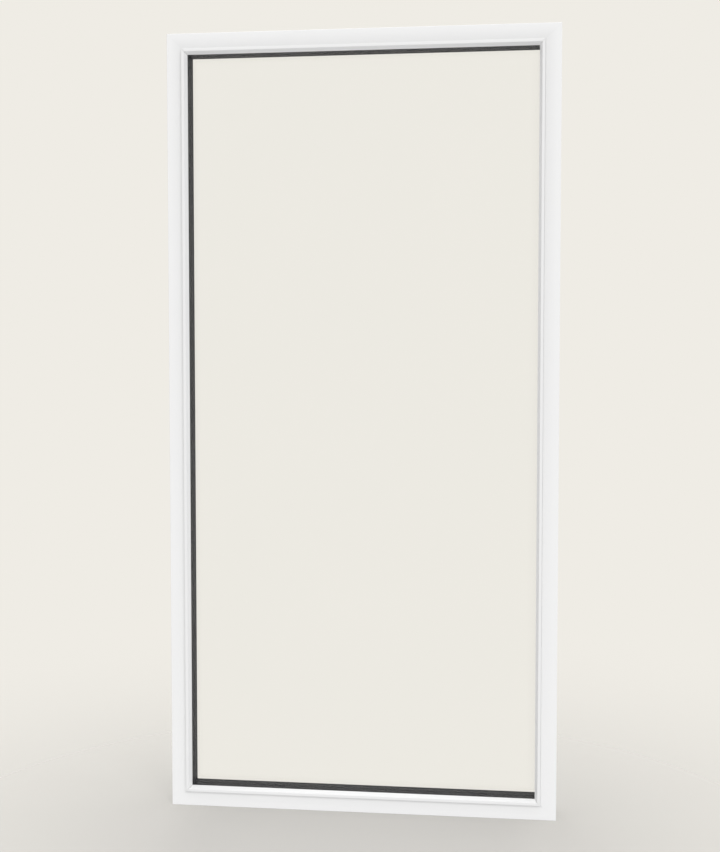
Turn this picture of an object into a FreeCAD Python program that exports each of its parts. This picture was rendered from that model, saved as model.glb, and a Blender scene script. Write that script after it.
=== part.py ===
import FreeCAD, Part
import math
import os

# Fixed picture window: a welded four-sided frame of hollow PVC-U extrusion,
# a triple glazed unit with black spacers, and four mitred beads that snap in
# at the front. Millimetres. +Z is up, the beaded front faces -Y, and X runs
# across. The origin is on the underside of the sill, at the middle of the
# width and of the depth over the beads.

# Overall size
FRAME_WIDTH = 914.4
FRAME_HEIGHT = 1828.8
FRAME_DEPTH = 82.0

# Frame extrusion
FACE_WIDTH = 36.7
EDGE_RADIUS = 1.5
LIP_THICKNESS = 3.0
LIP_HEIGHT = 3.0
WALL = 3.0
WEB = 2.0
MAIN_CHAMBER_DEPTH = 28.0
LEG_FALL = 10.0
LEG_RADIUS = 3.0

# Open channels along the outside of the frame, between three feet
FOOT_WIDTH = 8.0
MIDDLE_FOOT_WIDTH = 14.0
CHANNEL_DEPTH = 4.0
HOOK_REACH = 2.0
HOOK_THICKNESS = 1.6

# Groove in the glazing floor that takes the foot of the bead
GROOVE_DEPTH = 6.0
GROOVE_NECK = 3.4
GROOVE_UNDERCUT = 1.2
NIB_THICKNESS = 2.0

# Glazing bead
SHADOW_GAP = 0.2
BEAD_PROUD = 11.0
BEAD_TOP = 6.5
BEAD_SLOPE_RUN = 6.2
BEAD_NOSE = 1.0
BEAD_WALL = 1.6
BEAD_RADIUS = 1.0
STEM_THICKNESS = 2.2
BARB_HOLD = 0.7
SNAP_CLEARANCE = 0.3
BEAD_MITRE_GAP = 0.4

# Seal between the bead and the front pane
SEAL_THICKNESS = 1.6
SEAL_WIDTH = 4.5
SEAL_RADIUS = 0.5

# Glazed unit
PANE_THICKNESS = 4.0
CAVITY_WIDTH = 18.0
GLASS_SETBACK = 2.5
EDGE_CLEARANCE = 1.9
PANE_ARRIS = 0.5
SPACER_HEIGHT = 7.0
SPACER_CHAMFER = 3.0
SPACER_WALL = 1.0

# Gasket between the rear pane and the fixed leg of the frame
GASKET_THICKNESS = 6.0
GASKET_WIDTH = 8.5
GASKET_BEVEL = 1.2
SLOT_INSET = 5.6
SLOT_NECK = 3.0
SLOT_POCKET = 4.6
SLOT_LIP = 1.6
SLOT_DEPTH = 4.6
SLOT_CLEARANCE = 0.2

# Blocks that carry the glazed unit, grooved below to let water pass
BLOCK_LENGTH = 100.0
BLOCK_GROOVES = 2
BLOCK_GROOVE_WIDTH = 8.0
BLOCK_GROOVE_DEPTH = 3.0

# Holes for the screws that hold each jamb to the wall
FIXING_HOLE_RADIUS = 4.0
FIXING_END_DISTANCE = 150.0
FIXINGS_PER_JAMB = 4

# Drain slots through the glazing floor and the rear wall of the sill
DRAIN_LENGTH = 30.0
DRAIN_WIDTH = 5.0
DRAIN_END_DISTANCE = 150.0

# Insets from the outside edge of the frame
floor_inset = FACE_WIDTH - LIP_HEIGHT
bead_inset = FACE_WIDTH + SHADOW_GAP
slope_inset = bead_inset + BEAD_TOP
sight_inset = slope_inset + BEAD_SLOPE_RUN
glass_inset = bead_inset + STEM_THICKNESS + EDGE_CLEARANCE
groove_inset = floor_inset - GROOVE_DEPTH
slot_inset = sight_inset - SLOT_INSET

# Depths behind the front face of the frame
unit_thickness = 3 * PANE_THICKNESS + 2 * CAVITY_WIDTH
glass_rear = GLASS_SETBACK + unit_thickness
leg_front = glass_rear + GASKET_THICKNESS
bead_rear = GLASS_SETBACK - SEAL_THICKNESS
stem_rear = LIP_THICKNESS + STEM_THICKNESS
neck_rear = LIP_THICKNESS + GROOVE_NECK
pocket_rear = neck_rear + GROOVE_UNDERCUT
depth_middle = (FRAME_DEPTH - BEAD_PROUD) / 2
leg_thickness = FRAME_DEPTH - leg_front
chamber_inset = CHANNEL_DEPTH + WALL
main_chamber_front = pocket_rear + WALL + WEB
rear_chamber_front = main_chamber_front + MAIN_CHAMBER_DEPTH + WEB

# Reach of the mitre cuts past everything that is mitred
MITRE_MARGIN = 10.0
mitre_inset = sight_inset + MITRE_MARGIN
mitre_front = -BEAD_PROUD - MITRE_MARGIN
mitre_rear = FRAME_DEPTH + MITRE_MARGIN

# The four sides in order, each a quarter turn on from the one before
SIDES = ("sill", "right_jamb", "head", "left_jamb")


def section_point(inset, depth):
    """A point of a cross-section at the left end of the sill."""
    return FreeCAD.Vector(-FRAME_HEIGHT, depth - depth_middle, inset)


def corner_arc(before, corner, after, radius):
    """Start, middle and end of the arc that rounds one corner."""
    back = (before - corner).normalize()
    ahead = (after - corner).normalize()
    half_angle = back.getAngle(ahead) / 2
    reach = radius / math.tan(half_angle)
    bisector = (back + ahead).normalize()
    centre = corner + bisector * (radius / math.sin(half_angle))
    return corner + back * reach, centre - bisector * radius, corner + ahead * reach


def section_face(points):
    """A face from (inset, depth) corners; a third value rounds that corner."""
    corners = [section_point(p[0], p[1]) for p in points]
    radii = [p[2] if len(p) > 2 else 0 for p in points]
    edges = []
    ends = []
    for i, corner in enumerate(corners):
        if radii[i] > 0:
            after = corners[(i + 1) % len(corners)]
            start, middle, end = corner_arc(corners[i - 1], corner, after, radii[i])
            edges.append(Part.Arc(start, middle, end).toShape())
            ends.append((start, end))
        else:
            ends.append((corner, corner))
    for i, (start, _) in enumerate(ends):
        edges.append(Part.LineSegment(ends[i - 1][1], start).toShape())
    wire = Part.Wire(Part.__sortEdges__(edges))
    return Part.Face(wire)


def extrusion(points, chambers=()):
    """A long bar of one cross-section, hollow where chambers are given."""
    length = FreeCAD.Vector(2 * FRAME_HEIGHT, 0, 0)
    bar = section_face(points).extrude(length)
    for chamber in chambers:
        bar = bar.cut(section_face(chamber).extrude(length))
    return bar


def mitre_block(length):
    """The wedge-ended block that a bar of the sill's kind is cut to."""
    half = length / 2
    corners = [
        FreeCAD.Vector(-half, mitre_front - depth_middle, 0),
        FreeCAD.Vector(half, mitre_front - depth_middle, 0),
        FreeCAD.Vector(half - mitre_inset, mitre_front - depth_middle, mitre_inset),
        FreeCAD.Vector(-half + mitre_inset, mitre_front - depth_middle, mitre_inset),
    ]
    outline = Part.makePolygon(corners + corners[:1])
    return Part.Face(outline).extrude(FreeCAD.Vector(0, mitre_rear - mitre_front, 0))


def side_length(side):
    return FRAME_HEIGHT if "jamb" in side else FRAME_WIDTH


def turned(shape, side):
    """Turn a shape made for the sill onto another side of the window."""
    quarter_turns = SIDES.index(side)
    reach = FRAME_WIDTH / 2 if "jamb" in side else FRAME_HEIGHT / 2
    shape.translate(FreeCAD.Vector(0, 0, -reach))
    shape.rotate(FreeCAD.Vector(0, 0, 0), FreeCAD.Vector(0, 1, 0), -90 * quarter_turns)
    shape.translate(FreeCAD.Vector(0, 0, FRAME_HEIGHT / 2))
    return shape


def mitred(bar, side, gap=0):
    """One mitred member of the given bar, with its share of a gap at each end."""
    length = side_length(side) - math.hypot(gap, gap)
    return turned(bar.common(mitre_block(length)), side)


def channel_corners(front, rear):
    """Corners of one hooked channel, from its rear hook to its front hook."""
    return [
        (0, rear - HOOK_REACH),
        (HOOK_THICKNESS, rear - HOOK_REACH),
        (HOOK_THICKNESS, rear),
        (CHANNEL_DEPTH, rear),
        (CHANNEL_DEPTH, front),
        (HOOK_THICKNESS, front),
        (HOOK_THICKNESS, front + HOOK_REACH),
        (0, front + HOOK_REACH),
    ]


def channel_edges():
    """Front and rear edge of the front channel, then of the rear channel."""
    middle_front = (FRAME_DEPTH - MIDDLE_FOOT_WIDTH) / 2
    middle_rear = (FRAME_DEPTH + MIDDLE_FOOT_WIDTH) / 2
    return (FOOT_WIDTH, middle_front), (middle_rear, FRAME_DEPTH - FOOT_WIDTH)


def frame_section():
    """Outline of the frame extrusion, from the outer front corner."""
    front_channel, rear_channel = channel_edges()
    slot_lip = leg_front + SLOT_LIP
    slot_rear = leg_front + SLOT_DEPTH
    outline = [
        (0, 0, EDGE_RADIUS),
        (FACE_WIDTH, 0, EDGE_RADIUS / 2),
        (FACE_WIDTH, LIP_THICKNESS),
        (groove_inset, LIP_THICKNESS),
        (groove_inset, pocket_rear),
        (floor_inset - NIB_THICKNESS, pocket_rear),
        (floor_inset - NIB_THICKNESS, neck_rear),
        (floor_inset, neck_rear),
        (floor_inset, leg_front),
        (slot_inset - SLOT_NECK / 2, leg_front),
        (slot_inset - SLOT_NECK / 2, slot_lip),
        (slot_inset - SLOT_POCKET / 2, slot_lip),
        (slot_inset - SLOT_POCKET / 2, slot_rear),
        (slot_inset + SLOT_POCKET / 2, slot_rear),
        (slot_inset + SLOT_POCKET / 2, slot_lip),
        (slot_inset + SLOT_NECK / 2, slot_lip),
        (slot_inset + SLOT_NECK / 2, leg_front),
        (sight_inset, leg_front, EDGE_RADIUS / 2),
        (sight_inset - LEG_FALL, FRAME_DEPTH, LEG_RADIUS),
        (0, FRAME_DEPTH, EDGE_RADIUS),
    ]
    return outline + channel_corners(*rear_channel) + channel_corners(*front_channel)


def frame_chambers():
    """The four long chambers inside the frame extrusion."""
    front_rear = main_chamber_front - WEB
    main_rear = main_chamber_front + MAIN_CHAMBER_DEPTH
    rear_rear = FRAME_DEPTH - WALL
    under_groove = groove_inset - WEB
    under_floor = floor_inset - WALL
    leg_start = leg_front + SLOT_DEPTH + WEB
    leg_grade = LEG_FALL / leg_thickness
    leg_top_front = sight_inset - leg_grade * (leg_start - leg_front) - WALL
    leg_top_rear = sight_inset - leg_grade * (rear_rear - leg_front) - WALL
    front = [
        (chamber_inset, WALL),
        (under_groove, WALL),
        (under_groove, front_rear),
        (chamber_inset, front_rear),
    ]
    main = [
        (chamber_inset, main_chamber_front),
        (under_floor, main_chamber_front),
        (under_floor, main_rear),
        (chamber_inset, main_rear),
    ]
    rear = [
        (chamber_inset, rear_chamber_front),
        (under_floor, rear_chamber_front),
        (under_floor, rear_rear),
        (chamber_inset, rear_rear),
    ]
    leg = [
        (under_floor + WEB, leg_start),
        (leg_top_front, leg_start),
        (leg_top_rear, rear_rear),
        (under_floor + WEB, rear_rear),
    ]
    return [front, main, rear, leg]


def fixing_heights():
    """Heights of the screw holes, spaced evenly up a jamb."""
    span = FRAME_HEIGHT - 2 * FIXING_END_DISTANCE
    step = span / (FIXINGS_PER_JAMB - 1)
    return [FIXING_END_DISTANCE + i * step for i in range(FIXINGS_PER_JAMB)]


def fixing_drills():
    """Drills across both jambs, in the middle of the front channel."""
    front, rear = channel_edges()[0]
    depth = (front + rear) / 2 - depth_middle
    across = FreeCAD.Vector(1, 0, 0)
    drills = []
    for height in fixing_heights():
        start = FreeCAD.Vector(-FRAME_WIDTH, depth, height)
        drills.append(Part.makeCylinder(FIXING_HOLE_RADIUS, 2 * FRAME_WIDTH, start, across))
    return drills


def drain_slot(depth):
    """A round-ended slot along X, cut to a depth along Z, about the origin."""
    radius = DRAIN_WIDTH / 2
    half_run = DRAIN_LENGTH / 2 - radius
    corner = FreeCAD.Vector(-half_run, -radius, -depth / 2)
    slot = Part.makeBox(2 * half_run, DRAIN_WIDTH, depth, corner)
    for end in (-half_run, half_run):
        slot = slot.fuse(Part.makeCylinder(radius, depth, FreeCAD.Vector(end, 0, -depth / 2)))
    return slot.removeSplitter()


def drain_cutters(centre):
    """Slots from the glazing floor to the rear chamber, and on to the outside."""
    floor_slot = drain_slot(3 * WALL)
    floor_depth = (rear_chamber_front + leg_front) / 2
    floor_slot.translate(FreeCAD.Vector(centre, floor_depth - depth_middle, floor_inset))
    wall_slot = drain_slot(3 * WALL)
    wall_slot.rotate(FreeCAD.Vector(0, 0, 0), FreeCAD.Vector(1, 0, 0), 90)
    wall_height = (chamber_inset + floor_inset - WALL) / 2
    wall_slot.translate(FreeCAD.Vector(centre, FRAME_DEPTH - depth_middle, wall_height))
    return floor_slot, wall_slot


def frame_members():
    """Four mitred members, drilled in the jambs and slotted in the sill."""
    bar = extrusion(frame_section(), frame_chambers())
    members = {side: mitred(bar, side) for side in SIDES}
    for side in ("left_jamb", "right_jamb"):
        for drill in fixing_drills():
            members[side] = members[side].cut(drill)
    drain = FRAME_WIDTH / 2 - DRAIN_END_DISTANCE
    for centre in (-drain, drain):
        for slot in drain_cutters(centre):
            members["sill"] = members["sill"].cut(slot)
    return {"frame_" + side: shape for side, shape in members.items()}


def bead_section():
    """Outline of the bead: raised top, slope to the glass, barbed foot."""
    barb_top = floor_inset - NIB_THICKNESS - SNAP_CLEARANCE
    foot = groove_inset + SNAP_CLEARANCE
    return [
        (bead_inset, -BEAD_PROUD, BEAD_RADIUS),
        (slope_inset, -BEAD_PROUD, BEAD_RADIUS),
        (sight_inset, bead_rear - BEAD_NOSE),
        (sight_inset, bead_rear),
        (bead_inset + STEM_THICKNESS, bead_rear),
        (bead_inset + STEM_THICKNESS, stem_rear),
        (barb_top, stem_rear),
        (barb_top, neck_rear + BARB_HOLD),
        (foot, stem_rear),
        (foot, LIP_THICKNESS),
        (bead_inset, LIP_THICKNESS),
    ]


def bead_chamber():
    """The hollow inside the raised part of the bead."""
    slope_depth = bead_rear - BEAD_NOSE + BEAD_PROUD
    grade = BEAD_SLOPE_RUN / slope_depth
    slope_wall = BEAD_WALL * math.hypot(BEAD_SLOPE_RUN, slope_depth) / slope_depth
    front = BEAD_WALL - BEAD_PROUD
    rear = bead_rear - BEAD_WALL
    return [
        (bead_inset + BEAD_WALL, front),
        (slope_inset + grade * BEAD_WALL - slope_wall, front),
        (slope_inset + grade * (rear + BEAD_PROUD) - slope_wall, rear),
        (bead_inset + BEAD_WALL, rear),
    ]


def beads():
    bar = extrusion(bead_section(), [bead_chamber()])
    return {"bead_" + side: mitred(bar, side, BEAD_MITRE_GAP) for side in SIDES}


def bead_seals():
    """Flexible strip on the back of each bead, pressed on the front pane."""
    bar = extrusion([
        (sight_inset - SEAL_WIDTH, bead_rear),
        (sight_inset, bead_rear),
        (sight_inset, GLASS_SETBACK, SEAL_RADIUS),
        (sight_inset - SEAL_WIDTH, GLASS_SETBACK),
    ])
    return {"bead_seal_" + side: mitred(bar, side, BEAD_MITRE_GAP) for side in SIDES}


def rear_gaskets():
    """Rubber strip with a barbed stem, pushed into the slot of the fixed leg."""
    half_stem = SLOT_NECK / 2 - SLOT_CLEARANCE
    half_barb = SLOT_POCKET / 2 - SLOT_CLEARANCE
    barb_front = leg_front + SLOT_LIP + SLOT_CLEARANCE
    stem_end = leg_front + SLOT_DEPTH - SLOT_CLEARANCE
    bar = extrusion([
        (sight_inset - GASKET_WIDTH, glass_rear),
        (sight_inset - GASKET_BEVEL, glass_rear),
        (sight_inset, glass_rear + GASKET_BEVEL),
        (sight_inset, leg_front),
        (slot_inset + half_stem, leg_front),
        (slot_inset + half_stem, barb_front),
        (slot_inset + half_barb, barb_front),
        (slot_inset + half_stem, stem_end),
        (slot_inset - half_stem, stem_end),
        (slot_inset - half_barb, barb_front),
        (slot_inset - half_stem, barb_front),
        (slot_inset - half_stem, leg_front),
        (sight_inset - GASKET_WIDTH, leg_front),
    ])
    return {"rear_gasket_" + side: mitred(bar, side) for side in SIDES}


def pane_front(number):
    """Depth of the front of a pane, counted from the front."""
    return GLASS_SETBACK + number * (PANE_THICKNESS + CAVITY_WIDTH)


def panes():
    """Three panes of float glass with ground edges."""
    width = FRAME_WIDTH - 2 * glass_inset
    height = FRAME_HEIGHT - 2 * glass_inset
    made = {}
    for number, name in enumerate(("front_pane", "middle_pane", "rear_pane")):
        corner = FreeCAD.Vector(-width / 2, pane_front(number) - depth_middle, glass_inset)
        pane = Part.makeBox(width, PANE_THICKNESS, height, corner)
        made[name] = pane.makeChamfer(PANE_ARRIS, pane.Edges)
    return made


def spacers():
    """Hollow black bars that keep the panes apart, four in each cavity."""
    outer = sight_inset - SPACER_HEIGHT
    made = {}
    for number, name in enumerate(("front_spacer_", "rear_spacer_")):
        front = pane_front(number) + PANE_THICKNESS
        rear = front + CAVITY_WIDTH
        outline = [
            (sight_inset, front),
            (sight_inset, rear),
            (outer + SPACER_CHAMFER, rear),
            (outer, rear - SPACER_CHAMFER),
            (outer, front + SPACER_CHAMFER),
            (outer + SPACER_CHAMFER, front),
        ]
        chamber = [
            (sight_inset - SPACER_WALL, front + SPACER_CHAMFER),
            (sight_inset - SPACER_WALL, rear - SPACER_CHAMFER),
            (outer + SPACER_WALL, rear - SPACER_CHAMFER),
            (outer + SPACER_WALL, front + SPACER_CHAMFER),
        ]
        bar = extrusion(outline, [chamber])
        for side in SIDES:
            made[name + side] = mitred(bar, side)
    return made


def setting_block(centre):
    """A block on the glazing floor, with a nose over the bead's foot."""
    front = stem_rear + SNAP_CLEARANCE
    nose_inset = bead_inset + STEM_THICKNESS + SNAP_CLEARANCE
    side = section_face([
        (floor_inset, front),
        (nose_inset, front),
        (nose_inset, GLASS_SETBACK),
        (glass_inset, GLASS_SETBACK),
        (glass_inset, glass_rear),
        (floor_inset, glass_rear),
    ])
    start = centre - BLOCK_LENGTH / 2
    side.translate(FreeCAD.Vector(FRAME_HEIGHT + start, 0, 0))
    block = side.extrude(FreeCAD.Vector(BLOCK_LENGTH, 0, 0))
    rib = (glass_rear - front - BLOCK_GROOVES * BLOCK_GROOVE_WIDTH) / (BLOCK_GROOVES + 1)
    for number in range(BLOCK_GROOVES):
        depth = front + rib + number * (rib + BLOCK_GROOVE_WIDTH)
        corner = FreeCAD.Vector(start, depth - depth_middle, floor_inset)
        groove = Part.makeBox(BLOCK_LENGTH, BLOCK_GROOVE_WIDTH, BLOCK_GROOVE_DEPTH, corner)
        block = block.cut(groove)
    return block


def setting_blocks():
    """Two blocks, at the quarter points of the sill."""
    quarter = FRAME_WIDTH / 4
    return {
        "setting_block_left": setting_block(-quarter),
        "setting_block_right": setting_block(quarter),
    }


def window():
    pieces = {}
    for group in (frame_members, beads, bead_seals, rear_gaskets, panes, spacers, setting_blocks):
        pieces.update(group())
    return pieces


os.makedirs("parts", exist_ok=True)
for node, shape in window().items():
    shape.exportStep("parts/" + node + ".step")
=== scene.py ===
import math

import bpy
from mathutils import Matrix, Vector


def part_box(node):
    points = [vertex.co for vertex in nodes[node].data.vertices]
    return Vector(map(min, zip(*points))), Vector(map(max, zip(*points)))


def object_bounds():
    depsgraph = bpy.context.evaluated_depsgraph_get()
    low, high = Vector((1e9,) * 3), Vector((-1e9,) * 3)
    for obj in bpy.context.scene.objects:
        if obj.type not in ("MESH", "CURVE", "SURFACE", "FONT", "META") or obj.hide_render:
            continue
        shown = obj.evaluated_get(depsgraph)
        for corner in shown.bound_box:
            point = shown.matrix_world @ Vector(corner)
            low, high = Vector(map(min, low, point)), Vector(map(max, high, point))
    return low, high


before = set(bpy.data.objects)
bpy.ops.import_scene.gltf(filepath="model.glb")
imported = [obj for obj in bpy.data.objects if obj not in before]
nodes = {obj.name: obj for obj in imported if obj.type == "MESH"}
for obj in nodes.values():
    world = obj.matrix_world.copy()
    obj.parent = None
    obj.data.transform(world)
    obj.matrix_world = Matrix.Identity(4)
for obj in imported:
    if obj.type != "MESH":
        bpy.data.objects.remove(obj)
cad_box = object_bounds()
bpy.ops.object.select_all(action="DESELECT")

# Frame. Four lengths of hollow white PVC-U extrusion, mitred and welded at the corners.
# The calibrator leaves fine lines along each length, and the weld is scraped flush,
# so only a faint seam runs across the corner.
SIDES = ("sill", "right_jamb", "head", "left_jamb")
HALF_WIDTH = cad_box[1][0]
FULL_HEIGHT = cad_box[1][2]
FACE_WIDTH = 0.0367
FRAME_WHITE = (0.874, 0.874, 0.874, 1)
FRAME_SHADE = (0.845, 0.846, 0.848, 1)
# The grey below is painted shade on the front beside the bead. The band and line numbers after it
# shape it: a soft band for the bead's shade, and a line for its shadow at the sill.
FRAME_PAINTED_SHADE = (0.7, 0.7, 0.7, 1)
PVC_IOR = 1.53
DRAWN_LINE_STRENGTH = 0.18
DRAWN_LINE_DEPTH = 0.0002
DRIFT_SCALE = 7.0
SHADE_BAND_REACH = 0.03
SHADE_BAND_POWER = 1.2
SHADOW_LINE_REACH = 0.0072
SHADOW_LINE_POWER = 0.5
ACROSS_SHADE_BAND_TONE = 0.68
ACROSS_SHADOW_LINE_TONE = 0.8
UPRIGHT_SHADE_BAND_TONE = 0.48
UPRIGHT_SHADOW_LINE_TONE = 0.0


def add_node(tree, kind, **inputs):
    """A new node, with constants set on its named inputs."""
    node = tree.nodes.new(kind)
    for name, value in inputs.items():
        node.inputs[name.replace("_", " ")].default_value = value
    return node


def math_node(tree, operation, first, second=None):
    """The result of one sum on sockets or plain numbers."""
    node = tree.nodes.new("ShaderNodeMath")
    node.operation = operation
    for slot, value in enumerate((first, second)):
        if value is None:
            continue
        if isinstance(value, (int, float)):
            node.inputs[slot].default_value = value
        else:
            tree.links.new(value, node.inputs[slot])
    return node.outputs[0]


def new_group(name, inputs, outputs):
    """An empty node group with its named sockets, and its two end nodes."""
    group = bpy.data.node_groups.new(name, "ShaderNodeTree")
    for label, kind, value in inputs:
        socket = group.interface.new_socket(label, in_out="INPUT", socket_type=kind)
        socket.default_value = value
    for label, kind in outputs:
        group.interface.new_socket(label, in_out="OUTPUT", socket_type=kind)
    return group, group.nodes.new("NodeGroupInput"), group.nodes.new("NodeGroupOutput")


def place_group(tree, group, **inputs):
    """A node group placed in a material with its own values."""
    node = tree.nodes.new("ShaderNodeGroup")
    node.node_tree = group
    for name, value in inputs.items():
        node.inputs[name.replace("_", " ")].default_value = value
    return node


def drawn_lines_group():
    """Fine lines along the length of an extrusion, and slow drift of its tone."""
    group, given, put = new_group(
        "drawn_lines",
        [
            ("Vector", "NodeSocketVector", (0, 0, 0)),
            ("Stretch", "NodeSocketVector", (1, 1, 1)),
        ],
        [("Lines", "NodeSocketFloat"), ("Drift", "NodeSocketFloat")],
    )
    stretched = group.nodes.new("ShaderNodeVectorMath")
    stretched.operation = "MULTIPLY"
    group.links.new(given.outputs["Vector"], stretched.inputs[0])
    group.links.new(given.outputs["Stretch"], stretched.inputs[1])
    lines = add_node(group, "ShaderNodeTexNoise", Scale=1.0, Detail=3.0, Roughness=0.6)
    group.links.new(stretched.outputs[0], lines.inputs["Vector"])
    drift = add_node(group, "ShaderNodeTexNoise", Scale=DRIFT_SCALE, Detail=2.0, Roughness=0.5)
    group.links.new(given.outputs["Vector"], drift.inputs["Vector"])
    group.links.new(lines.outputs["Fac"], put.inputs["Lines"])
    group.links.new(drift.outputs["Fac"], put.inputs["Drift"])
    return group


def edge_distance_group():
    """How far a point is in from the outside of the window, and off the nearest mitre."""
    group, given, put = new_group(
        "edge_distance",
        [
            ("Vector", "NodeSocketVector", (0, 0, 0)),
            ("Half Width", "NodeSocketFloat", HALF_WIDTH),
            ("Height", "NodeSocketFloat", FULL_HEIGHT),
        ],
        [("Inset", "NodeSocketFloat"), ("Off Mitre", "NodeSocketFloat")],
    )
    parts = group.nodes.new("ShaderNodeSeparateXYZ")
    group.links.new(given.outputs["Vector"], parts.inputs[0])
    across = math_node(group, "ABSOLUTE", parts.outputs["X"])
    from_side = math_node(group, "SUBTRACT", given.outputs["Half Width"], across)
    from_top = math_node(group, "SUBTRACT", given.outputs["Height"], parts.outputs["Z"])
    from_end = math_node(group, "MINIMUM", from_top, parts.outputs["Z"])
    inset = math_node(group, "MINIMUM", from_side, from_end)
    group.links.new(inset, put.inputs["Inset"])
    off_mitre = math_node(group, "ABSOLUTE", math_node(group, "SUBTRACT", from_side, from_end))
    group.links.new(off_mitre, put.inputs["Off Mitre"])
    return group


drawn_lines = drawn_lines_group()
edge_distance = edge_distance_group()


def new_material(name):
    """A material with one shader, its node tree, and the place on the piece."""
    material = bpy.data.materials.new(name)
    material.use_nodes = True
    tree = material.node_tree
    tree.nodes.clear()
    shader = tree.nodes.new("ShaderNodeBsdfPrincipled")
    output = tree.nodes.new("ShaderNodeOutputMaterial")
    tree.links.new(shader.outputs["BSDF"], output.inputs["Surface"])
    place = tree.nodes.new("ShaderNodeTexCoord").outputs["Object"]
    return material, tree, shader, place


def mixed_colour(tree, factor, first, second):
    """One colour turning to another as the factor goes from 0 to 1."""
    mix = tree.nodes.new("ShaderNodeMix")
    mix.data_type = "RGBA"
    mix.inputs["A"].default_value = first
    mix.inputs["B"].default_value = second
    tree.links.new(factor, mix.inputs["Factor"])
    return mix.outputs["Result"]


def spread(tree, value, low, high):
    """The value, from 0 to 1, taken to the range low to high."""
    return math_node(tree, "ADD", math_node(tree, "MULTIPLY", value, high - low), low)


def bump(tree, shader, height, strength, distance):
    """Raise the surface by the height, from 0 to 1, over a distance in metres."""
    node = add_node(tree, "ShaderNodeBump", Strength=strength, Distance=distance)
    tree.links.new(height, node.inputs["Height"])
    tree.links.new(node.outputs["Normal"], shader.inputs["Normal"])


def nearness(tree, distance, reach):
    """1 at no distance, falling evenly to 0 at the reach."""
    near = math_node(tree, "SUBTRACT", 1.0, math_node(tree, "DIVIDE", distance, reach))
    near.node.use_clamp = True
    return near


def white_extrusion(name, stretch, light, shade, gloss, drift_tone, seam_width, seam_tone):
    """White PVC-U with drawn lines along its length and a seam at each mitre."""
    material, tree, shader, place = new_material(name)
    lines = place_group(tree, drawn_lines, Stretch=stretch)
    edges = place_group(tree, edge_distance)
    tree.links.new(place, lines.inputs["Vector"])
    tree.links.new(place, edges.inputs["Vector"])
    seam = nearness(tree, edges.outputs["Off Mitre"], seam_width)
    drift_share = math_node(tree, "MULTIPLY", lines.outputs["Drift"], drift_tone)
    seam_share = math_node(tree, "MULTIPLY", seam, seam_tone)
    tone = math_node(tree, "MAXIMUM", drift_share, seam_share)
    tree.links.new(mixed_colour(tree, tone, light, shade), shader.inputs["Base Color"])
    tree.links.new(spread(tree, lines.outputs["Lines"], *gloss), shader.inputs["Roughness"])
    height = math_node(tree, "SUBTRACT", lines.outputs["Lines"], seam)
    bump(tree, shader, height, DRAWN_LINE_STRENGTH, DRAWN_LINE_DEPTH)
    shader.inputs["IOR"].default_value = PVC_IOR
    return material


def painted_shade_share(tree, distance, reach, power, tone, level):
    """Painted shade beside the bead: most at no distance, none at the reach, scaled by the level.
    """
    fall = math_node(tree, "POWER", nearness(tree, distance, reach), power)
    return math_node(tree, "MULTIPLY", math_node(tree, "MULTIPLY", fall, tone), level)


def add_painted_shade(material, shade_band_tone, shadow_line_tone):
    """Paint shade on the front beside the bead: a soft band of painted shade, strongest towards
    the head, and a painted shadow line under the bead, strongest at the sill.
    """
    tree = material.node_tree
    shader = tree.nodes["Principled BSDF"]
    place = tree.nodes["Texture Coordinate"].outputs["Object"]
    edges = place_group(tree, edge_distance)
    tree.links.new(place, edges.inputs["Vector"])
    parts = tree.nodes.new("ShaderNodeSeparateXYZ")
    tree.links.new(place, parts.inputs[0])
    up_share = math_node(tree, "DIVIDE", parts.outputs["Z"], FULL_HEIGHT)
    down_share = math_node(tree, "SUBTRACT", 1.0, up_share)
    to_joint = math_node(tree, "SUBTRACT", FACE_WIDTH, edges.outputs["Inset"])
    shade_band = painted_shade_share(tree, to_joint, SHADE_BAND_REACH, SHADE_BAND_POWER, shade_band_tone, up_share)
    shadow_line = painted_shade_share(tree, to_joint, SHADOW_LINE_REACH, SHADOW_LINE_POWER, shadow_line_tone, down_share)
    in_front = math_node(tree, "LESS_THAN", parts.outputs["Y"], 0.0)
    painted_shade = math_node(tree, "MULTIPLY", math_node(tree, "MAXIMUM", shade_band, shadow_line), in_front)
    unshaded_colour = shader.inputs["Base Color"].links[0].from_socket
    shaded_colour = mixed_colour(tree, painted_shade, FRAME_WHITE, FRAME_PAINTED_SHADE)
    tree.links.new(unshaded_colour, shaded_colour.node.inputs["A"])
    tree.links.new(shaded_colour, shader.inputs["Base Color"])


def dress(node, material):
    """Give a CAD node its finish."""
    obj = nodes[node]
    obj.data.materials.clear()
    obj.data.materials.append(material)


def dress_sides(prefix, across, upright):
    """Give the four sides of one kind their finish, by the way they run."""
    for side in SIDES:
        dress(prefix + side, upright if "jamb" in side else across)


LINES_ACROSS = (3, 900, 900)
LINES_UPRIGHT = (900, 900, 3)
FRAME_LOOK = {
    "light": FRAME_WHITE,
    "shade": FRAME_SHADE,
    "gloss": (0.3, 0.42),
    "drift_tone": 0.5,
    "seam_width": 0.0012,
    "seam_tone": 0.6,
}
frame_across = white_extrusion("white_frame_across", LINES_ACROSS, **FRAME_LOOK)
frame_upright = white_extrusion("white_frame_upright", LINES_UPRIGHT, **FRAME_LOOK)
# Painted shade beside the bead on the frame's front, with a painted shadow line under the bead at
# the sill.
add_painted_shade(frame_across, ACROSS_SHADE_BAND_TONE, ACROSS_SHADOW_LINE_TONE)
add_painted_shade(frame_upright, UPRIGHT_SHADE_BAND_TONE, UPRIGHT_SHADOW_LINE_TONE)
dress_sides("frame_", frame_across, frame_upright)

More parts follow.
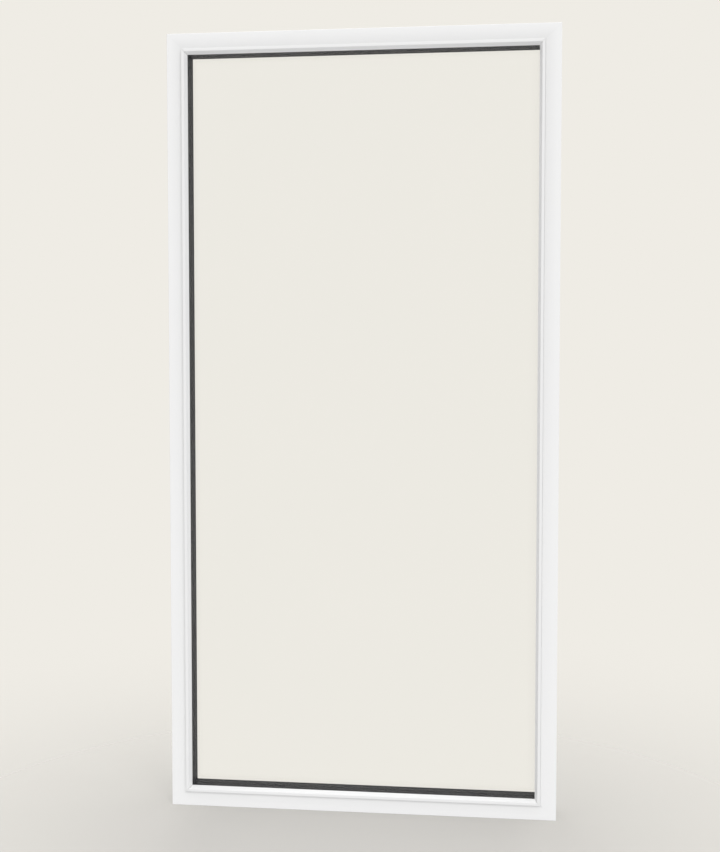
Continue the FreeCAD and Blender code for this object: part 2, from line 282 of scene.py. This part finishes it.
# Rear gaskets. Black rubber strips pushed into a slot in the fixed leg of the frame, that
# the rear pane is pressed against. The rubber is matt, with the fine skin of an extrusion.
RUBBER_BLACK = (0.028, 0.028, 0.029, 1)
RUBBER_WORN = (0.036, 0.036, 0.037, 1)
RUBBER_GLOSS = (0.55, 0.75)
RUBBER_SPECULAR = 0.1
SKIN_STRENGTH = 0.2
SKIN_DEPTH = 0.0003
SKIN_ACROSS = (6, 600, 600)
SKIN_UPRIGHT = (600, 600, 6)


def rubber_skin(name, stretch, dark, pale):
    """Matt rubber with the faint drawn lines of an extruded strip."""
    material, tree, shader, place = new_material(name)
    lines = place_group(tree, drawn_lines, Stretch=stretch)
    tree.links.new(place, lines.inputs["Vector"])
    colour = mixed_colour(tree, lines.outputs["Drift"], dark, pale)
    tree.links.new(colour, shader.inputs["Base Color"])
    tree.links.new(spread(tree, lines.outputs["Lines"], *RUBBER_GLOSS), shader.inputs["Roughness"])
    bump(tree, shader, lines.outputs["Lines"], SKIN_STRENGTH, SKIN_DEPTH)
    shader.inputs["Specular IOR Level"].default_value = RUBBER_SPECULAR
    return material


rubber_across = rubber_skin("black_rubber_across", SKIN_ACROSS, RUBBER_BLACK, RUBBER_WORN)
rubber_upright = rubber_skin("black_rubber_upright", SKIN_UPRIGHT, RUBBER_BLACK, RUBBER_WORN)
dress_sides("rear_gasket_", rubber_across, rubber_upright)

# Setting blocks. Two moulded plastic packers on the sill's glazing floor, at the quarter
# points, which carry the weight of the glass. The plastic is matt, with fine mould ribs.
BLOCK_GREY = (0.08, 0.085, 0.09, 1)
BLOCK_PALE = (0.12, 0.125, 0.13, 1)
BLOCK_GLOSS = (0.5, 0.7)
BLOCK_GRAIN_SCALE = 900.0
BLOCK_RIB_PITCH = 0.006
BLOCK_RIB_STRENGTH = 0.5
BLOCK_RIB_DEPTH = 0.0006
WAVE_PHASE = 20.0  # radians a metre at a wave scale of 1
block_plastic, tree, shader, place = new_material("setting_block_plastic")
rib_scale = math.tau / (WAVE_PHASE * BLOCK_RIB_PITCH)
ribs = add_node(tree, "ShaderNodeTexWave", Scale=rib_scale, Distortion=0.0)
ribs.bands_direction = "X"
tree.links.new(place, ribs.inputs["Vector"])
grain = add_node(tree, "ShaderNodeTexNoise", Scale=BLOCK_GRAIN_SCALE, Detail=2.0)
tree.links.new(place, grain.inputs["Vector"])
block_colour = mixed_colour(tree, grain.outputs["Fac"], BLOCK_GREY, BLOCK_PALE)
tree.links.new(block_colour, shader.inputs["Base Color"])
tree.links.new(spread(tree, grain.outputs["Fac"], *BLOCK_GLOSS), shader.inputs["Roughness"])
bump(tree, shader, ribs.outputs["Fac"], BLOCK_RIB_STRENGTH, BLOCK_RIB_DEPTH)
for place_name in ("left", "right"):
    dress("setting_block_" + place_name, block_plastic)

# Spacers. Black hollow composite bars between the panes, bonded to the glass on both sides.
# A row of pin holes runs along the inner face of each bar.
SPACER_BLACK = (0.034, 0.034, 0.0355, 1)
SPACER_HOLE = (0.002, 0.002, 0.002, 1)
SPACER_GLOSS = (0.45, 0.6)
SPACER_SPECULAR = 0.1
SPACER_GRAIN_SCALE = 1400.0
SPACER_GRAIN_STRENGTH = 0.12
SPACER_GRAIN_DEPTH = 0.0002
HOLE_PITCH = 0.0045
HOLE_RADIUS = 0.0006


def pin_holes_group():
    """A row of small holes along one axis, at one depth, as a mask from 0 to 1."""
    group, given, put = new_group(
        "pin_holes",
        [
            ("Along", "NodeSocketFloat", 0.0),
            ("Depth", "NodeSocketFloat", 0.0),
            ("Row Depth", "NodeSocketFloat", 0.0),
            ("Pitch", "NodeSocketFloat", HOLE_PITCH),
            ("Radius", "NodeSocketFloat", HOLE_RADIUS),
        ],
        [("Holes", "NodeSocketFloat")],
    )
    half_pitch = math_node(group, "MULTIPLY", given.outputs["Pitch"], 0.5)
    step = math_node(group, "PINGPONG", given.outputs["Along"], half_pitch)
    aside = math_node(group, "SUBTRACT", given.outputs["Depth"], given.outputs["Row Depth"])
    step_squared = math_node(group, "MULTIPLY", step, step)
    aside_squared = math_node(group, "MULTIPLY", aside, aside)
    reach = math_node(group, "SQRT", math_node(group, "ADD", step_squared, aside_squared))
    inside = math_node(group, "LESS_THAN", reach, given.outputs["Radius"])
    group.links.new(inside, put.inputs["Holes"])
    return group


pin_holes = pin_holes_group()


def spacer_composite(name, along_axis, row_depth):
    """Black composite with a fine grain and pin holes along the middle of the bar."""
    material, tree, shader, place = new_material(name)
    parts = tree.nodes.new("ShaderNodeSeparateXYZ")
    tree.links.new(place, parts.inputs[0])
    holes = place_group(tree, pin_holes, Row_Depth=row_depth)
    tree.links.new(parts.outputs[along_axis], holes.inputs["Along"])
    tree.links.new(parts.outputs["Y"], holes.inputs["Depth"])
    grain = add_node(tree, "ShaderNodeTexNoise", Scale=SPACER_GRAIN_SCALE, Detail=2.0)
    tree.links.new(place, grain.inputs["Vector"])
    colour = mixed_colour(tree, holes.outputs["Holes"], SPACER_BLACK, SPACER_HOLE)
    tree.links.new(colour, shader.inputs["Base Color"])
    tree.links.new(spread(tree, grain.outputs["Fac"], *SPACER_GLOSS), shader.inputs["Roughness"])
    shader.inputs["Specular IOR Level"].default_value = SPACER_SPECULAR
    height = math_node(tree, "SUBTRACT", grain.outputs["Fac"], holes.outputs["Holes"])
    bump(tree, shader, height, SPACER_GRAIN_STRENGTH, SPACER_GRAIN_DEPTH)
    return material


for cavity in ("front", "rear"):
    low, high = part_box(cavity + "_spacer_sill")
    row_depth = (low.y + high.y) / 2
    spacer_across = spacer_composite(cavity + "_spacer_across", "X", row_depth)
    spacer_upright = spacer_composite(cavity + "_spacer_upright", "Z", row_depth)
    dress_sides(cavity + "_spacer_", spacer_across, spacer_upright)

# Panes. Three sheets of clear float glass in one sealed unit. Float glass is flat but for
# a very slow wave from the rollers, and has a faint green cast.
PANE_CLEAR = (0.994, 0.995, 0.993, 1)
PANE_CAST = (0.99, 0.992, 0.99, 1)
# The darker tint below is painted shade, laid on the glass within a short reach inside the sight
# line.
PANE_PAINTED_SHADE = (0.976, 0.977, 0.975, 1)
PANE_SHINE = (0.25, 0.258, 0.285, 1)
GLASS_IOR = 1.52
ROLLER_WAVE_SCALE = 3.0
ROLLER_WAVE_STRENGTH = 0.02
ROLLER_WAVE_DEPTH = 0.0005
SIGHT_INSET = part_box("bead_sill")[1].z
EDGE_SHADE_REACH = 0.022
EDGE_SHADE_POWER = 1.6
float_glass, tree, shader, place = new_material("clear_float_glass")
wave = add_node(tree, "ShaderNodeTexNoise", Scale=ROLLER_WAVE_SCALE, Detail=1.0)
tree.links.new(place, wave.inputs["Vector"])
edges = place_group(tree, edge_distance)
tree.links.new(place, edges.inputs["Vector"])
# Painted shade: the glass colour darkens towards the sight line, standing in for the dark
# reflections of the spacers there.
inside_sight = math_node(tree, "SUBTRACT", edges.outputs["Inset"], SIGHT_INSET)
painted_edge_shade = math_node(tree, "POWER", nearness(tree, inside_sight, EDGE_SHADE_REACH), EDGE_SHADE_POWER)
clear = mixed_colour(tree, wave.outputs["Fac"], PANE_CLEAR, PANE_CAST)
edge_shaded_colour = mixed_colour(tree, painted_edge_shade, PANE_CLEAR, PANE_PAINTED_SHADE)
tree.links.new(clear, edge_shaded_colour.node.inputs["A"])
tree.links.new(edge_shaded_colour, shader.inputs["Base Color"])
bump(tree, shader, wave.outputs["Fac"], ROLLER_WAVE_STRENGTH, ROLLER_WAVE_DEPTH)
shader.inputs["Roughness"].default_value = 0.0
shader.inputs["IOR"].default_value = GLASS_IOR
shader.inputs["Specular Tint"].default_value = PANE_SHINE
shader.inputs["Transmission Weight"].default_value = 1.0
for pane in ("front_pane", "middle_pane", "rear_pane"):
    dress(pane, float_glass)
    nodes[pane].visible_diffuse = False
    nodes[pane].visible_shadow = False

# Bead seals. A pale flexible strip run on to the back of each bead, which closes the joint
# against the front pane.
SEAL_PALE = (0.62, 0.62, 0.61, 1)
SEAL_SHADE = (0.54, 0.54, 0.53, 1)
seal_across = rubber_skin("pale_seal_across", SKIN_ACROSS, SEAL_PALE, SEAL_SHADE)
seal_upright = rubber_skin("pale_seal_upright", SKIN_UPRIGHT, SEAL_PALE, SEAL_SHADE)
dress_sides("bead_seal_", seal_across, seal_upright)

# Glazing beads. Four hollow white lengths, mitred at the corners and snapped into a groove
# of the frame from the front. They are not welded, so a hairline shows at each mitre.
BEAD_WHITE = (0.838, 0.838, 0.838, 1)
BEAD_SHADE = (0.7, 0.7, 0.7, 1)
BEAD_LOOK = {
    "light": BEAD_WHITE,
    "shade": BEAD_SHADE,
    "gloss": (0.26, 0.36),
    "drift_tone": 0.08,
    "seam_width": 0.0006,
    "seam_tone": 0.4,
}
bead_across = white_extrusion("white_bead_across", LINES_ACROSS, **BEAD_LOOK)
bead_upright = white_extrusion("white_bead_upright", LINES_UPRIGHT, **BEAD_LOOK)
dress_sides("bead_", bead_across, bead_upright)

# Floor. A plain pale floor that the window stands on, which takes its soft shadow. On top of that
# it carries a painted
# shadow: it is greyest a little in front of the window and fades into the backdrop further out.
FLOOR_PALE = (0.586, 0.571, 0.544, 1)
FLOOR_PAINTED_SHADOW_CENTRE = (0, -0.2, 0)
FLOOR_ROUGHNESS = 0.9
FLOOR_SPECULAR = 0.1
FLOOR_REACH = 8.0
FLOOR_FADE_START = 0.35
FLOOR_FADE_END = 2.5
FLOOR_FADE_POWER = 2.8
bpy.ops.object.select_all(action="DESELECT")
bpy.ops.mesh.primitive_plane_add(size=FLOOR_REACH, location=(0, 0, 0))
floor = bpy.context.object
floor.name = "studio_floor"
floor_finish, tree, shader, place = new_material("pale_floor")
shader.inputs["Base Color"].default_value = FLOOR_PALE
shader.inputs["Roughness"].default_value = FLOOR_ROUGHNESS
shader.inputs["Specular IOR Level"].default_value = FLOOR_SPECULAR
# Painted shadow: the floor is opaque and grey near a point in front of the window, and fades to
# the backdrop further out.
away = tree.nodes.new("ShaderNodeVectorMath")
away.operation = "DISTANCE"
away.inputs[1].default_value = FLOOR_PAINTED_SHADOW_CENTRE
tree.links.new(place, away.inputs[0])
painted_shadow_fade = add_node(
    tree, "ShaderNodeMapRange",
    From_Min=FLOOR_FADE_START, From_Max=FLOOR_FADE_END, To_Min=1.0, To_Max=0.0,
)
tree.links.new(away.outputs["Value"], painted_shadow_fade.inputs["Value"])
painted_shadow_share = math_node(tree, "POWER", painted_shadow_fade.outputs["Result"], FLOOR_FADE_POWER)
tree.links.new(painted_shadow_share, shader.inputs["Alpha"])
floor.data.materials.append(floor_finish)
floor.visible_transmission = False
floor.visible_diffuse = False
floor.visible_shadow = False

# Backdrop and fill. A plain cream backdrop for what the eye and the glass see, and a soft
# light from all round, stronger from straight above and below, that lights the window.
BACKDROP_CREAM = (0.863, 0.839, 0.783, 1)
FILL_WHITE = (1, 1, 1, 1)
FILL_LEVEL = 0.675
FILL_ENDS = 0.25
world = bpy.data.worlds.new("studio")
bpy.context.scene.world = world
world.use_nodes = True
tree = world.node_tree
tree.nodes.clear()
output = tree.nodes.new("ShaderNodeOutputWorld")
seen = add_node(tree, "ShaderNodeBackground", Color=BACKDROP_CREAM, Strength=1.0)
lit = add_node(tree, "ShaderNodeBackground", Color=FILL_WHITE)
toward = tree.nodes.new("ShaderNodeTexCoord").outputs["Generated"]
parts = tree.nodes.new("ShaderNodeSeparateXYZ")
tree.links.new(toward, parts.inputs[0])
steepness = math_node(tree, "MULTIPLY", parts.outputs["Z"], parts.outputs["Z"])
fill = spread(tree, steepness, FILL_LEVEL, FILL_LEVEL + FILL_ENDS)
tree.links.new(fill, lit.inputs["Strength"])
path = tree.nodes.new("ShaderNodeLightPath").outputs
mirrored = math_node(tree, "MAXIMUM", path["Is Glossy Ray"], path["Is Transmission Ray"])
shown = math_node(tree, "MAXIMUM", path["Is Camera Ray"], mirrored)
choice = tree.nodes.new("ShaderNodeMixShader")
tree.links.new(shown, choice.inputs["Fac"])
tree.links.new(lit.outputs["Background"], choice.inputs[1])
tree.links.new(seen.outputs["Background"], choice.inputs[2])
tree.links.new(choice.outputs["Shader"], output.inputs["Surface"])

# Lamps. Three very broad soft lamps, far enough away to light top and bottom alike: one in
# front and a little to the right, one overhead, and one behind for the outdoor side. A
# fourth, overhead, only shows as the highlight on glossy slopes that face up.
FRONT_LAMP = {"from_point": (0.115, -0.26, 0.14), "power": 0.99, "spread": math.radians(36)}
OVERHEAD_LAMP = {"from_point": (0, -0.01, 0.14), "power": 0.44, "spread": math.radians(70)}
REAR_LAMP = {"from_point": (-0.08, 0.24, 0.04), "power": 0.8, "spread": math.radians(36)}
HIGHLIGHT_LAMP = {"from_point": (-0.017, 0, 0.14), "power": 1.0, "spread": math.radians(44)}


def broad_lamp(name, from_point, power, spread, mirrored=False):
    """A far lamp that lights surfaces, or one that only glossy surfaces mirror."""
    bpy.ops.object.light_add(type="SUN", location=from_point)
    lamp = bpy.context.object
    lamp.name = name
    lamp.data.energy = power
    lamp.data.angle = spread
    lamp.rotation_euler = (-Vector(from_point)).to_track_quat("-Z", "Y").to_euler()
    lamp.visible_diffuse = not mirrored
    lamp.visible_glossy = mirrored
    lamp.visible_transmission = False


broad_lamp("front_softbox", **FRONT_LAMP)
broad_lamp("overhead_softbox", **OVERHEAD_LAMP)
broad_lamp("rear_softbox", **REAR_LAMP)
broad_lamp("highlight_softbox", mirrored=True, **HIGHLIGHT_LAMP)

# Camera. It looks at the middle of the front of the frame, from a little to the right
# of square-on and a little above.
VIEW_AZIMUTH = math.radians(7.42)
VIEW_ELEVATION = math.radians(3.19)
VIEW_DISTANCE = 3.229
VIEW_LENS = 58.6
VIEW_SENSOR = 36.0
VIEW_AIM_RIGHT = -0.00174
VIEW_AIM_UP = 0.00104
aim = Vector((VIEW_AIM_RIGHT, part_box("frame_sill")[0].y, FULL_HEIGHT / 2 + VIEW_AIM_UP))
level = math.cos(VIEW_ELEVATION) * VIEW_DISTANCE
offset = Vector((
    math.sin(VIEW_AZIMUTH) * level,
    -math.cos(VIEW_AZIMUTH) * level,
    math.sin(VIEW_ELEVATION) * VIEW_DISTANCE,
))
bpy.ops.object.camera_add(location=aim + offset)
camera = bpy.context.object
camera.rotation_euler = (-offset).to_track_quat("-Z", "Y").to_euler()
camera.data.lens = VIEW_LENS
camera.data.sensor_width = VIEW_SENSOR
bpy.context.scene.camera = camera
bpy.context.scene.view_settings.view_transform = "Standard"
